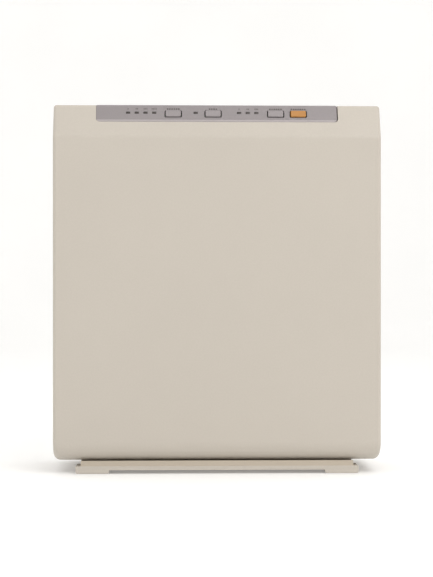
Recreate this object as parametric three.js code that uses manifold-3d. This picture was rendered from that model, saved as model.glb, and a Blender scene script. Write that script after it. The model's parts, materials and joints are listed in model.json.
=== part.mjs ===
// A free-standing air purifier, built as the separate pieces that it comes apart into.
// Units are millimetres. +Z is up, the front faces -Y, and the origin is on the floor
// under the middle of the body.
import * as THREE from 'three';
import { mergeVertices } from 'three/addons/utils/BufferGeometryUtils.js';
import Module from 'manifold-3d';

const wasm = await Module();
wasm.setup();

// ---------------------------------------------------------------- driving dimensions

const WIDTH = 380;
const DEPTH = 150;
const BODY_BOTTOM = 14.8;
const BODY_TOP = 428;
const WALL = 2.5;
const GAP = 0.4; // clearance between two fitted pieces

const HALF_WIDTH = WIDTH / 2;
const FRONT = -DEPTH / 2;
const BACK = DEPTH / 2;

// Outer form of the casing.
const CREASE_Z = 389.5; // where the flat front meets the slanted band
const CREASE_RADIUS = 14;
const SLANT_SETBACK = 16; // how far back the band's top edge lies
const UNDER_RADIUS = 23; // front's curve under the body
const TOP_FRONT_RADIUS = 4;
const SIDE_EDGE_RADIUS = 4.5;
const REAR_EDGE_RADIUS = 16;
const TOP_CORNER_RADIUS = 3.5;
const BOTTOM_CORNER_RADIUS = 8;

// Where the casing is divided, front to back.
const PANEL_BACK = -47.6;
const CHASSIS_FRONT = -46.6;
const CHASSIS_BACK = 54.8;
const COVER_FRONT = 55.2;

// Slanted band, as a plane of its own: v runs up the slope from the crease.
const SLANT_ANGLE = Math.atan2(SLANT_SETBACK, BODY_TOP - CREASE_Z);
const SLANT_LENGTH = Math.hypot(SLANT_SETBACK, BODY_TOP - CREASE_Z);

// Control strip.
const STRIP_LEFT = -140.2;
const STRIP_RIGHT = 140.2;
const STRIP_HEIGHT = 21.6;
const STRIP_PROUD = 0.3;
const STRIP_BOTTOM = SLANT_LENGTH - STRIP_HEIGHT;
const STRIP_CORNER_RADIUS = 4;
const BUTTON_X = { timer: -51.1, ion: -4.8, speed: 68, power: 94.4 };
const BUTTON_V = STRIP_BOTTOM + 10;
const BUTTON_SIZE = [18.2, 7.8];
const BUTTON_HOLE = [20.1, 9.5];
const BUTTON_PROUD = 1.8;
const WINDOW_X = {
  timer: [-103.5, -93.4, -83.3, -73.2],
  ion: [-25],
  speed: [25.5, 35.6, 45.6],
};
const WINDOW_V = STRIP_BOTTOM + 11.4;
const WINDOW_SIZE = [5.0, 3.0];

// Depths under the slanted band's outer face.
const LENS_FACE = -0.5;
const BOARD_FRONT = -9;
const BOARD_BACK = -10.6;
const TRAY_BACK = -14;

// Panel's tilt hinge, on two pins low down behind it.
const HINGE_Y = -52;
const HINGE_Z = 19.9;
const HINGE_PIN_RADIUS = 1.8;
const HINGE_X = 110;

// Filter pocket and the stack in it.
const POCKET_HALF_WIDTH = 167;
const POCKET_BOTTOM = 38;
const POCKET_TOP = 382;
const POCKET_WALL = 2;
const FILTER_CLEARANCE = 1;

// Fan.
const FAN_X = -8;
const FAN_Z = 182;
const WHEEL_RADIUS = 105;
const BLADE_COUNT = 20;
const INLET_RADIUS = 88;
const MOTOR_RADIUS = 34;
const SHAFT_RADIUS = 4;

// Air outlet in the top.
const OUTLET_HALF_WIDTH = 150;
const OUTLET_Y = [4, 50];
const OUTLET_FIN_COUNT = 6;

// Stand.
const BAR_HALF_LENGTH = 164;
const BAR_DEPTH = 26;
const BAR_CENTRE_Y = 57;
const BAR_BOTTOM = 4.4;
const BAR_TOP = 9;
const NECK_HALF_WIDTH = 158;
const NECK_TOP = BODY_BOTTOM - GAP;
const NECK_TOP_FRONT = -46;
const NECK_TOP_BACK = 62;
const RIDGE_Y = -67; // raised front rim that hides the gap under the body
const RIDGE_TOP = 15.5;
const TROUGH_TOP = 13.4; // clears the panel's lower edge as the panel tilts
const FOOT_LENGTH = 38.8;
const FOOT_BOTTOM = 0.5;

// Cover screws.
const SCREW_X = 172;
const SCREW_Z = [32, 402];

// ---------------------------------------------------------------- materials

function finish(color, roughness, metalness = 0) {
  return new THREE.MeshStandardMaterial({ color, roughness, metalness });
}

const MATERIALS = {
  creamPlastic: finish(0xd8ccbd, 0.5),
  grillePlastic: finish(0xbdb2a3, 0.55),
  silverPlastic: finish(0xa59e9d, 0.4),
  buttonPlastic: finish(0xaaa29f, 0.4),
  orangePlastic: finish(0xcf9153, 0.4),
  darkLens: finish(0x4a4240, 0.25),
  whitePlastic: finish(0xe4e2dc, 0.5),
  blackPlastic: finish(0x26262a, 0.5),
  circuitBoard: finish(0x2f6a3c, 0.5),
  filterPaper: finish(0xf1efe8, 0.9),
  carbon: finish(0x2b2b2b, 0.9),
  steel: finish(0xb4b6b8, 0.35, 1),
  rubber: finish(0x3a3a3a, 0.9),
  lampPlastic: finish(0xdfe8d8, 0.2),
};

// ---------------------------------------------------------------- outlines

const SMALL_ARC_STEP = 30; // degrees in one straight side of a small round corner
const LARGE_ARC_STEP = 11;
const LARGE_RADIUS = 8;

// A closed outline whose corners, given anticlockwise as [x, y, radius], are rounded by arcs.
function roundedOutline(corners) {
  const points = [];
  corners.forEach(([x, y, radius = 0], index) => {
    const corner = new THREE.Vector2(x, y);
    if (radius === 0) {
      points.push(corner);
      return;
    }
    const previous = corners.at(index - 1);
    const next = corners[(index + 1) % corners.length];
    const toPrevious = new THREE.Vector2(previous[0] - x, previous[1] - y).normalize();
    const toNext = new THREE.Vector2(next[0] - x, next[1] - y).normalize();
    const halfAngle = Math.acos(toPrevious.dot(toNext)) / 2;
    const bisector = toPrevious.clone().add(toNext).normalize();
    const centre = corner.clone().addScaledVector(bisector, radius / Math.sin(halfAngle));
    const tangent = radius / Math.tan(halfAngle);
    const from = corner.clone().addScaledVector(toPrevious, tangent).sub(centre).angle();
    const to = corner.clone().addScaledVector(toNext, tangent).sub(centre).angle();
    const sweep = THREE.MathUtils.euclideanModulo(to - from + Math.PI, 2 * Math.PI) - Math.PI;
    const step = radius >= LARGE_RADIUS ? LARGE_ARC_STEP : SMALL_ARC_STEP;
    const count = Math.max(2, Math.ceil(Math.abs(THREE.MathUtils.radToDeg(sweep)) / step));
    for (let i = 0; i <= count; i += 1) {
      const angle = from + (sweep * i) / count;
      points.push(new THREE.Vector2(radius * Math.cos(angle), radius * Math.sin(angle)).add(centre));
    }
  });
  return points;
}

// The same corners with every side moved inwards by a distance, or outwards by a negative one.
function insetCorners(corners, distance) {
  const sides = corners.map(([x, y], index) => {
    const [nextX, nextY] = corners[(index + 1) % corners.length];
    const along = new THREE.Vector2(nextX - x, nextY - y).normalize();
    const inward = new THREE.Vector2(-along.y, along.x);
    return { along, start: new THREE.Vector2(x, y).addScaledVector(inward, distance) };
  });
  return corners.map(([, , radius = 0], index) => {
    const before = sides.at(index - 1);
    const after = sides[index];
    const between = after.start.clone().sub(before.start);
    const t = between.cross(after.along) / before.along.cross(after.along);
    const point = before.start.clone().addScaledVector(before.along, t);
    return [point.x, point.y, radius > 0 ? Math.max(radius - distance, 0.4) : 0];
  });
}

function rectangle(x0, y0, x1, y1, radius = 0) {
  return [[x0, y0, radius], [x1, y0, radius], [x1, y1, radius], [x0, y1, radius]];
}

function centredRectangle(x, y, [width, height], radius = 0) {
  return rectangle(x - width / 2, y - height / 2, x + width / 2, y + height / 2, radius);
}

// ---------------------------------------------------------------- solids

const X_AXIS = new THREE.Vector3(1, 0, 0);
const Y_AXIS = new THREE.Vector3(0, 1, 0);
const Z_AXIS = new THREE.Vector3(0, 0, 1);

function solidOf(geometry) {
  const bare = geometry.clone();
  bare.deleteAttribute('normal');
  bare.deleteAttribute('uv');
  const merged = mergeVertices(bare, 1e-4);
  return new wasm.Manifold(new wasm.Mesh({
    numProp: 3,
    vertProperties: new Float32Array(merged.attributes.position.array),
    triVerts: new Uint32Array(merged.index.array),
  }));
}

function geometryOf(solid) {
  const mesh = solid.getMesh();
  const geometry = new THREE.BufferGeometry();
  geometry.setAttribute('position', new THREE.BufferAttribute(mesh.vertProperties, 3));
  geometry.setIndex(new THREE.BufferAttribute(mesh.triVerts, 1));
  geometry.computeVertexNormals();
  return geometry;
}

// An outline pushed along an axis. Outlines lie in (y, z), (x, z) or (x, y).
function prism(corners, axis, from, to) {
  const shape = new THREE.Shape(roundedOutline(corners));
  const geometry = new THREE.ExtrudeGeometry(shape, { depth: to - from, bevelEnabled: false });
  const turn = new THREE.Matrix4();
  if (axis === 'x') {
    turn.makeBasis(Y_AXIS, Z_AXIS, X_AXIS).setPosition(from, 0, 0);
  } else if (axis === 'y') {
    turn.makeBasis(X_AXIS, Z_AXIS, Y_AXIS.clone().negate()).setPosition(0, to, 0);
  } else {
    turn.setPosition(0, 0, from);
  }
  return solidOf(geometry.applyMatrix4(turn));
}

function block([x0, x1], [y0, y1], [z0, z1], radius = 0) {
  return prism(rectangle(x0, y0, x1, y1, radius), 'z', z0, z1);
}

// A turned solid about an axis through a point; the profile is [radius, distance along the axis].
function turned(profile, axis, centre, segments = 32) {
  const points = profile.map(([radius, along]) => new THREE.Vector2(radius, along));
  const geometry = new THREE.LatheGeometry(points, segments);
  if (axis === 'x') {
    geometry.rotateZ(-Math.PI / 2);
  } else if (axis === 'z') {
    geometry.rotateX(Math.PI / 2);
  }
  geometry.translate(...centre);
  return solidOf(geometry);
}

function rod(radius, axis, centre, from, to, segments = 16) {
  return turned([[0, from], [radius, from], [radius, to], [0, to]], axis, centre, segments);
}

function tube(inner, outer, axis, centre, from, to, segments = 32) {
  const profile = [[inner, from], [outer, from], [outer, to], [inner, to], [inner, from]];
  return turned(profile, axis, centre, segments);
}

function union(...solids) {
  return solids.reduce((whole, solid) => whole.add(solid));
}

// ---------------------------------------------------------------- the casing's outer form

const SIDE_CORNERS = [
  [FRONT, BODY_BOTTOM, UNDER_RADIUS],
  [BACK, BODY_BOTTOM, 12],
  [BACK, BODY_TOP, 10],
  [FRONT + SLANT_SETBACK, BODY_TOP, TOP_FRONT_RADIUS],
  [FRONT, CREASE_Z, CREASE_RADIUS],
];
const FRONT_CORNERS = [
  [-HALF_WIDTH, BODY_BOTTOM, BOTTOM_CORNER_RADIUS],
  [HALF_WIDTH, BODY_BOTTOM, BOTTOM_CORNER_RADIUS],
  [HALF_WIDTH, BODY_TOP, TOP_CORNER_RADIUS],
  [-HALF_WIDTH, BODY_TOP, TOP_CORNER_RADIUS],
];
const PLAN_CORNERS = [
  [-HALF_WIDTH, FRONT, SIDE_EDGE_RADIUS],
  [HALF_WIDTH, FRONT, SIDE_EDGE_RADIUS],
  [HALF_WIDTH, BACK, REAR_EDGE_RADIUS],
  [-HALF_WIDTH, BACK, REAR_EDGE_RADIUS],
];

// The casing's full form, with every face moved in by the same distance.
function casingForm(inset) {
  const reach = 5; // how far each outline runs past the form, so that only the others bound it
  const side = prism(insetCorners(SIDE_CORNERS, inset), 'x', -HALF_WIDTH - reach, HALF_WIDTH + reach);
  const front = prism(insetCorners(FRONT_CORNERS, inset), 'y', FRONT - reach, BACK + reach);
  const plan = prism(insetCorners(PLAN_CORNERS, inset), 'z', 0, BODY_TOP + reach);
  return side.intersect(front).intersect(plan);
}

const casingOuter = casingForm(0);
const casingInner = casingForm(WALL);
const casingShell = casingOuter.subtract(casingInner);

function slab(y0, y1) {
  return block([-HALF_WIDTH - 1, HALF_WIDTH + 1], [y0, y1], [0, BODY_TOP + 1]);
}

// Puts a solid drawn as (x, v, distance out of the band) onto the slanted band.
function onSlant(solid) {
  const up = new THREE.Vector3(0, Math.sin(SLANT_ANGLE), Math.cos(SLANT_ANGLE));
  const outward = new THREE.Vector3(0, -Math.cos(SLANT_ANGLE), Math.sin(SLANT_ANGLE));
  const place = new THREE.Matrix4().makeBasis(X_AXIS, up, outward).setPosition(0, FRONT, CREASE_Z);
  return solid.transform(place.elements);
}

// ---------------------------------------------------------------- front panel

const INTAKE_WINDOW = rectangle(-67, 46, -53, 384, 4);

function bothSides(make) {
  return union(make(-1), make(1));
}

function hingeRib(x) {
  const bottom = BODY_BOTTOM + 1.2;
  const outline = [[-73, bottom], [-48.8, bottom], [-48.8, 24, 2], [-56, 30, 2], [-73, 30]];
  const clearance = HINGE_PIN_RADIUS + GAP;
  const mouth = block([x - 3, x + 3], [HINGE_Y, HINGE_Y + 6], [HINGE_Z - 1.6, HINGE_Z + 1.6]);
  return prism(outline, 'x', x - 1.4, x + 1.4)
    .intersect(casingForm(1))
    .subtract(rod(clearance, 'x', [0, HINGE_Y, HINGE_Z], x - 3, x + 3, 16))
    .subtract(mouth);
}

function frontPanel() {
  const notch = onSlant(prism(
    rectangle(
      STRIP_LEFT - GAP,
      STRIP_BOTTOM - GAP,
      STRIP_RIGHT + GAP,
      SLANT_LENGTH + 40,
      STRIP_CORNER_RADIUS + GAP,
    ),
    'z', -40, 5,
  ));
  const intakeWindows = prism(INTAKE_WINDOW, 'x', -HALF_WIDTH - 1, HALF_WIDTH + 1);
  const lowerLip = block([-HALF_WIDTH, HALF_WIDTH], [-49.5, PANEL_BACK + 1], [0, BODY_BOTTOM + 5]);
  const armSlots = bothSides((side) => {
    const centre = side * HINGE_X;
    return block([centre - 5.4, centre + 5.4], [-56, -48], [0, BODY_BOTTOM + 3]);
  });
  const latchTabs = bothSides((side) => {
    const centre = side * 170;
    const tab = block([centre - 6, centre + 6], [-69.5, -41.5], [403, 405]);
    const barb = prism([[-43.6, 404], [-41.5, 404], [-41.5, 405.4], [-42.6, 406.2]], 'x', centre - 6, centre + 6);
    return tab.add(barb);
  });
  const interlockTab = block([149, 155], [-69.5, -48.6], [398, 401]).intersect(casingForm(1));
  const ribs = [-1, 1].flatMap((side) => [-7.1, 7.1].map((shift) => hingeRib(side * HINGE_X + shift)));
  return casingShell
    .intersect(slab(FRONT - 1, PANEL_BACK))
    .subtract(notch)
    .subtract(intakeWindows)
    .subtract(lowerLip)
    .subtract(armSlots)
    .add(union(...ribs, latchTabs.intersect(casingForm(1)), interlockTab));
}

// A ladder of slats that fills one intake window.
function intakeGrille(side) {
  const slatPitch = 14;
  const edge = 1.6;
  const [[y0, z0], , [y1, z1]] = insetCorners(INTAKE_WINDOW, GAP);
  const outer = side > 0 ? HALF_WIDTH - 0.6 : -HALF_WIDTH + 0.6;
  const span = [outer, outer - side * 1.9].sort((a, b) => a - b);
  const plate = prism(rectangle(y0, z0, y1, z1, 3.6), 'x', ...span);
  const slatCount = Math.floor((z1 - z0 - 2 * edge) / slatPitch);
  const firstZ = (z0 + z1) / 2 - ((slatCount - 1) * slatPitch) / 2;
  const openings = [];
  for (let i = 0; i < slatCount; i += 1) {
    const z = firstZ + i * slatPitch;
    openings.push(block([span[0] - 1, span[1] + 1], [y0 + edge, y1 - edge], [z - 5, z + 5]));
  }
  return plate.subtract(union(...openings));
}

// ---------------------------------------------------------------- casing behind the panel

function mainChassis() {
  const walls = casingShell.intersect(slab(CHASSIS_FRONT, CHASSIS_BACK));
  const pocketWidth = [-POCKET_HALF_WIDTH, POCKET_HALF_WIDTH];
  const pocketHeight = [POCKET_BOTTOM, POCKET_TOP];
  const flangeBack = CHASSIS_FRONT + WALL;
  const inside = casingForm(WALL - 0.5);
  const flange = slab(CHASSIS_FRONT, flangeBack).intersect(inside);
  const pocketOuter = block(
    [-POCKET_HALF_WIDTH - POCKET_WALL, POCKET_HALF_WIDTH + POCKET_WALL],
    [CHASSIS_FRONT + 1, WALL],
    [POCKET_BOTTOM - POCKET_WALL, POCKET_TOP + POCKET_WALL],
  );
  const upperBulkhead = block([-169, 169], [0, WALL], [POCKET_TOP, BODY_TOP]).intersect(inside);
  const pocketSpace = block(pocketWidth, [CHASSIS_FRONT - 1, 0], pocketHeight);
  const inlet = rod(INLET_RADIUS, 'y', [FAN_X, 0, FAN_Z], -1, WALL + 1, 32);
  const outlet = block([-OUTLET_HALF_WIDTH, OUTLET_HALF_WIDTH], OUTLET_Y, [BODY_TOP - WALL - 1, BODY_TOP + 1], 3);
  const arms = bothSides((side) => {
    const centre = side * HINGE_X;
    const arm = block([centre - 5, centre + 5], [HINGE_Y, flangeBack - 1], [HINGE_Z - 1.8, HINGE_Z + 1.8]);
    return arm.add(rod(HINGE_PIN_RADIUS, 'x', [0, HINGE_Y, HINGE_Z], centre - 11, centre + 11, 16));
  });
  const posts = [-1, 1].flatMap((side) => SCREW_Z.map((z) => screwPost(side, z, inside)));
  const latchSlots = bothSides((side) => {
    const centre = side * 170;
    return block([centre - 7, centre + 7], [CHASSIS_FRONT - 1, flangeBack + 1], [401.5, 408]);
  });
  const plungerHole = rod(1.9, 'y', [152, 0, 399.5], CHASSIS_FRONT - 1, flangeBack + 1, 12);
  const standBosses = bothSides((side) => rod(5, 'z', [side * 90, 20, 0], BODY_BOTTOM + 1, 30, 16));
  const standHoles = bothSides((side) => rod(1.9, 'z', [side * 90, 20, 0], 0, 28, 12));
  return walls
    .add(flange)
    .add(pocketOuter)
    .add(upperBulkhead)
    .subtract(pocketSpace)
    .subtract(inlet)
    .subtract(outlet)
    .add(arms)
    .add(union(...posts, standBosses))
    .subtract(union(latchSlots, plungerHole, standHoles));
}

// A post that takes a cover screw, tied to the side wall by a gusset.
function screwPost(side, z, inside) {
  const x = side * SCREW_X;
  const post = rod(4, 'y', [x, 0, z], 10, 68.6, 16);
  const gusset = block([x, side * HALF_WIDTH].sort((a, b) => a - b), [12, CHASSIS_BACK - 2], [z - 1, z + 1]);
  const bore = rod(1.9, 'y', [x, 0, z], 50, 70, 12);
  return post.add(gusset.intersect(inside)).subtract(bore);
}

const RECESS = { halfWidth: 58, bottom: 366, top: 396, depth: 17 };
const INLET_SOCKET = { x: 148, z: 46, width: 21, height: 14, depth: 16 };

function rearCover() {
  const recessOutline = rectangle(-RECESS.halfWidth, RECESS.bottom, RECESS.halfWidth, RECESS.top, 7);
  const pocketOutline = insetCorners(recessOutline, -2);
  const pocket = prism(pocketOutline, 'y', BACK - RECESS.depth - 2, BACK - 1);
  const hollow = prism(recessOutline, 'y', BACK - RECESS.depth, BACK + 1);
  const socketHole = prism(
    centredRectangle(INLET_SOCKET.x, INLET_SOCKET.z, [INLET_SOCKET.width, INLET_SOCKET.height], 4),
    'y', BACK - WALL - 1, BACK + 1,
  );
  const bosses = [];
  const wells = [];
  for (const x of [-SCREW_X, SCREW_X]) {
    for (const z of SCREW_Z) {
      bosses.push(rod(6, 'y', [x, 0, z], 69, BACK - 1, 14));
      wells.push(turned([[0, 68], [2.2, 68], [2.2, 71.6], [4.2, 71.6], [4.2, 76], [0, 76]], 'y', [x, 0, z], 14));
    }
  }
  return casingShell
    .intersect(slab(COVER_FRONT, BACK + 1))
    .add(pocket)
    .add(union(...bosses).intersect(casingForm(1)))
    .subtract(hollow)
    .subtract(socketHole)
    .subtract(union(...wells));
}

function coverScrew(x, z) {
  const profile = [[0, 56], [1.6, 56.8], [1.6, 71.9], [3.6, 71.9], [3.6, 73.4], [2.6, 74.3], [0, 74.5]];
  const slot = block([x - 2.4, x + 2.4], [73.2, 75], [z - 0.5, z + 0.5]);
  return turned(profile, 'y', [x, 0, z], 12).subtract(slot);
}

// Frame and long fins of the air outlet; the fins lean so that air blows up and forwards.
function outletGrille() {
  const bottom = 412.5;
  const top = BODY_TOP - 0.3;
  const edge = 2.2;
  const outline = rectangle(
    -OUTLET_HALF_WIDTH + GAP, OUTLET_Y[0] + GAP, OUTLET_HALF_WIDTH - GAP, OUTLET_Y[1] - GAP, 2.6,
  );
  const frame = prism(outline, 'z', bottom, top).subtract(prism(insetCorners(outline, edge), 'z', 0, top + 1));
  const inside = prism(insetCorners(outline, edge - 0.5), 'z', bottom + 2, top - 0.8);
  const finPitch = (OUTLET_Y[1] - OUTLET_Y[0]) / (OUTLET_FIN_COUNT + 1);
  const fins = [];
  for (let i = 1; i <= OUTLET_FIN_COUNT; i += 1) {
    const y = OUTLET_Y[0] + i * finPitch;
    const section = [[y + 2.6, bottom], [y + 4, bottom], [y - 1.2, top], [y - 2.6, top]];
    fins.push(prism(section, 'x', -OUTLET_HALF_WIDTH, OUTLET_HALF_WIDTH));
  }
  for (const x of [-90, -30, 30, 90]) {
    fins.push(block([x - 0.9, x + 0.9], OUTLET_Y, [bottom, top - 2]));
  }
  return frame.add(union(...fins).intersect(inside));
}

// ---------------------------------------------------------------- control strip

function controlFascia() {
  const outer = prism(insetCorners(SIDE_CORNERS, -STRIP_PROUD), 'x', STRIP_LEFT, STRIP_RIGHT);
  const inner = prism(insetCorners(SIDE_CORNERS, WALL - STRIP_PROUD), 'x', -HALF_WIDTH, HALF_WIDTH);
  const outline = rectangle(STRIP_LEFT, STRIP_BOTTOM, STRIP_RIGHT, SLANT_LENGTH + 40, STRIP_CORNER_RADIUS);
  const holes = [];
  for (const x of Object.values(BUTTON_X)) {
    holes.push(prism(centredRectangle(x, BUTTON_V, BUTTON_HOLE, 1.8), 'z', -5, 2));
  }
  for (const x of Object.values(WINDOW_X).flat()) {
    holes.push(prism(centredRectangle(x, WINDOW_V, WINDOW_SIZE), 'z', -5, 2));
  }
  return outer
    .subtract(inner)
    .intersect(onSlant(prism(outline, 'z', -40, 5)))
    .intersect(slab(FRONT, PANEL_BACK))
    .subtract(onSlant(union(...holes)));
}

function buttonCap(x) {
  const cap = prism(centredRectangle(x, BUTTON_V, BUTTON_SIZE, 1.4), 'z', -3.6, BUTTON_PROUD);
  const stem = rod(1.5, 'z', [x, BUTTON_V, 0], -4.6, -3, 10);
  return onSlant(cap.add(stem));
}

function tactSwitch(x) {
  const box = block([x - 3, x + 3], [BUTTON_V - 3, BUTTON_V + 3], [BOARD_FRONT + 0.3, -6.6]);
  return onSlant(box.add(rod(1.4, 'z', [x, BUTTON_V, 0], -7, -5.9, 12)));
}

// Small clear plugs that fill the windows, moulded on one bar behind the strip.
function lensBar(windows) {
  const margin = 5;
  const bar = block(
    [windows[0] - margin, windows.at(-1) + margin],
    [WINDOW_V - 2.4, WINDOW_V + 2.4],
    [-4.4, -2.6],
  );
  const plugSize = [WINDOW_SIZE[0] - 0.6, WINDOW_SIZE[1] - 0.6];
  const plugs = windows.map((x) => prism(centredRectangle(x, WINDOW_V, plugSize), 'z', -3, LENS_FACE));
  return onSlant(union(bar, ...plugs));
}

function lamp(x) {
  return onSlant(block([x - 1.6, x + 1.6], [WINDOW_V - 1, WINDOW_V + 1], [BOARD_FRONT + 0.3, -7]));
}

const BOARD_V = [STRIP_BOTTOM + 2, SLANT_LENGTH - 3];

function controlBoard() {
  return onSlant(block([-134, 134], BOARD_V, [BOARD_BACK, BOARD_FRONT]));
}

// A trough with two ends and four studs, which holds the board behind the strip.
function controlTray() {
  const back = block([-138, 138], [STRIP_BOTTOM - 0.4, BOARD_V[1]], [TRAY_BACK, TRAY_BACK + 1.6]);
  const lip = block([-138, 138], [STRIP_BOTTOM - 0.4, STRIP_BOTTOM + 1.2], [TRAY_BACK, -3.6]);
  const ends = bothSides((side) => {
    const span = [side * 138, side * 136.4].sort((a, b) => a - b);
    return block(span, [STRIP_BOTTOM - 0.4, BOARD_V[1]], [TRAY_BACK, -6]);
  });
  const middle = (BOARD_V[0] + BOARD_V[1]) / 2;
  const studs = [-120, -30, 30, 120].map((x) => rod(2, 'z', [x, middle, 0], TRAY_BACK + 1, BOARD_BACK - 0.3, 12));
  return onSlant(union(back, lip, ends, ...studs));
}

// ---------------------------------------------------------------- filters

function filterOutline(inset) {
  const clear = FILTER_CLEARANCE + inset;
  return rectangle(
    -POCKET_HALF_WIDTH + clear, POCKET_BOTTOM + clear, POCKET_HALF_WIDTH - clear, POCKET_TOP - clear,
  );
}

function preFilter() {
  const [y0, y1] = [-46, -42.8];
  const rail = 8;
  const frame = prism(filterOutline(0), 'y', y0, y1).subtract(prism(filterOutline(rail), 'y', y0 - 1, y1 + 1));
  const mesh = prism(filterOutline(1), 'y', -44.8, -44);
  const bars = [];
  for (const x of [-83, 0, 83]) {
    bars.push(block([x - 1.2, x + 1.2], [y0 + 0.6, y1], [POCKET_BOTTOM + 4, POCKET_TOP - 4]));
  }
  for (const z of [124, 210, 296]) {
    bars.push(block([-POCKET_HALF_WIDTH + 4, POCKET_HALF_WIDTH - 4], [y0 + 0.6, y1], [z - 1.2, z + 1.2]));
  }
  return union(frame, mesh, ...bars);
}

const HEPA_Y = [-42, -13];
const HEPA_EDGE = 4;

function hepaFrame() {
  return prism(filterOutline(0), 'y', ...HEPA_Y).subtract(prism(filterOutline(HEPA_EDGE), 'y', -60, 0));
}

// One sheet of paper folded into upright pleats.
function hepaMedia() {
  const pleats = 30;
  const paper = 1.2;
  const half = POCKET_HALF_WIDTH - FILTER_CLEARANCE - HEPA_EDGE - 0.5;
  const front = HEPA_Y[0] + 1;
  const back = HEPA_Y[1] - 1 - paper;
  const nearSide = [];
  for (let i = 0; i <= 2 * pleats; i += 1) {
    nearSide.push([-half + (half * i) / pleats, i % 2 === 0 ? front : back]);
  }
  const farSide = nearSide.map(([x, y]) => [x, y + paper]).reverse();
  const clear = FILTER_CLEARANCE + HEPA_EDGE + 0.5;
  return prism([...nearSide, ...farSide], 'z', POCKET_BOTTOM + clear, POCKET_TOP - clear);
}

function deodorisingFilter() {
  const slabOutline = filterOutline(0);
  const core = prism(slabOutline, 'y', -12, -3);
  const frontRecess = prism(insetCorners(slabOutline, 9), 'y', -13, -11);
  const backRecess = prism(insetCorners(slabOutline, 9), 'y', -4, -2);
  return core.subtract(frontRecess).subtract(backRecess);
}

function inletGuard() {
  const centre = [FAN_X, 0, FAN_Z];
  const rings = [34, 60].map((radius) => tube(radius, radius + 1.8, 'y', centre, 0.4, 2.2, 18));
  const rim = tube(84, INLET_RADIUS - GAP, 'y', centre, 0, 2.4, 32);
  const hub = rod(8, 'y', centre, 0.2, 2.4, 12);
  const spokes = [0, 60, 120].map((angle) => {
    const bar = block([-86, 86], [0.6, 2.2], [-1, 1]);
    return bar.rotate([0, angle, 0]).translate(centre);
  });
  return union(rim, hub, ...rings, ...spokes);
}

// ---------------------------------------------------------------- fan

function fanWheel() {
  const centre = [FAN_X, 0, FAN_Z];
  const backPlate = turned(
    [
      [SHAFT_RADIUS + 0.3, 12], [10, 12], [10, 22], [40, 22], [40, 43.6], [WHEEL_RADIUS, 43.6],
      [WHEEL_RADIUS, 45.6], [37.6, 45.6], [37.6, 24.2], [SHAFT_RADIUS + 0.3, 24.2], [SHAFT_RADIUS + 0.3, 12],
    ],
    'y', centre, 32,
  );
  const shroud = tube(86, WHEEL_RADIUS, 'y', centre, 8, 10, 32);
  const blades = [];
  for (let i = 0; i < BLADE_COUNT; i += 1) {
    const blade = prism(bladeSection(), 'y', 9, 44.6);
    blades.push(blade.rotate([0, (360 * i) / BLADE_COUNT, 0]).translate(centre));
  }
  return union(backPlate, shroud, ...blades);
}

// A forward-curved blade: a short arc between the wheel's inner and outer radius.
function bladeSection() {
  const steps = 3;
  const thickness = 1.2;
  const outside = [];
  const inside = [];
  for (let i = 0; i <= steps; i += 1) {
    const share = i / steps;
    const radius = 87 + 17 * share;
    const angle = THREE.MathUtils.degToRad(9 * share * share);
    outside.push([radius * Math.cos(angle), radius * Math.sin(angle)]);
    inside.push([radius * Math.cos(angle), radius * Math.sin(angle) + thickness]);
  }
  return [...outside, ...inside.reverse()];
}

function motorShaft() {
  return rod(SHAFT_RADIUS, 'y', [FAN_X, 0, FAN_Z], 6.6, 40, 24);
}

function fanNut() {
  const hexagon = [];
  for (let i = 0; i < 6; i += 1) {
    const angle = (Math.PI / 3) * i;
    hexagon.push([FAN_X + 7.5 * Math.cos(angle), FAN_Z + 7.5 * Math.sin(angle)]);
  }
  return prism(hexagon, 'y', 7.4, 11.7).subtract(rod(SHAFT_RADIUS + 0.3, 'y', [FAN_X, 0, FAN_Z], 0, 20, 24));
}

function motorBody() {
  const centre = [FAN_X, 0, FAN_Z];
  return turned(
    [
      [0, 40.4], [SHAFT_RADIUS + 0.3, 40.4], [SHAFT_RADIUS + 0.3, 25], [9, 25], [9, 27],
      [MOTOR_RADIUS - 2, 27], [MOTOR_RADIUS, 29], [MOTOR_RADIUS, 64], [MOTOR_RADIUS - 3, 67], [0, 67],
    ],
    'y', centre, 24,
  );
  return can;
}

function motorMount() {
  const centre = [FAN_X, 0, FAN_Z];
  const ring = tube(MOTOR_RADIUS + 1, 50, 'y', centre, 52.6, 55, 24);
  const collar = tube(MOTOR_RADIUS + 1, MOTOR_RADIUS + 3, 'y', centre, 54, 61, 24);
  return ring.add(collar);
}

const SCROLL_WALL = 2.2;
const SCROLL_Y = [3, 52.2];
const DUCT_TOP = 411;

// The spiral that air follows around the wheel, then the duct that widens up to the outlet.
function scrollPath() {
  const tongueAngle = 60;
  const startRadius = 112;
  const endRadius = 172;
  const points = [];
  for (let angle = tongueAngle; angle <= 360; angle += 12) {
    const radius = startRadius + ((endRadius - startRadius) * (angle - tongueAngle)) / (360 - tongueAngle);
    const turn = THREE.MathUtils.degToRad(angle);
    points.push([FAN_X + radius * Math.cos(turn), FAN_Z + radius * Math.sin(turn)]);
  }
  points.push([FAN_X + endRadius, DUCT_TOP]);
  points.push([-148, DUCT_TOP]);
  const tongue = new THREE.Vector2(...points[0]);
  const rise = new THREE.CubicBezierCurve(
    new THREE.Vector2(-148, 396),
    new THREE.Vector2(-70, 388),
    new THREE.Vector2(40, 350),
    tongue,
  );
  rise.getPoints(10).slice(0, -1).forEach((point) => points.push([point.x, point.y]));
  return points;
}

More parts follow.
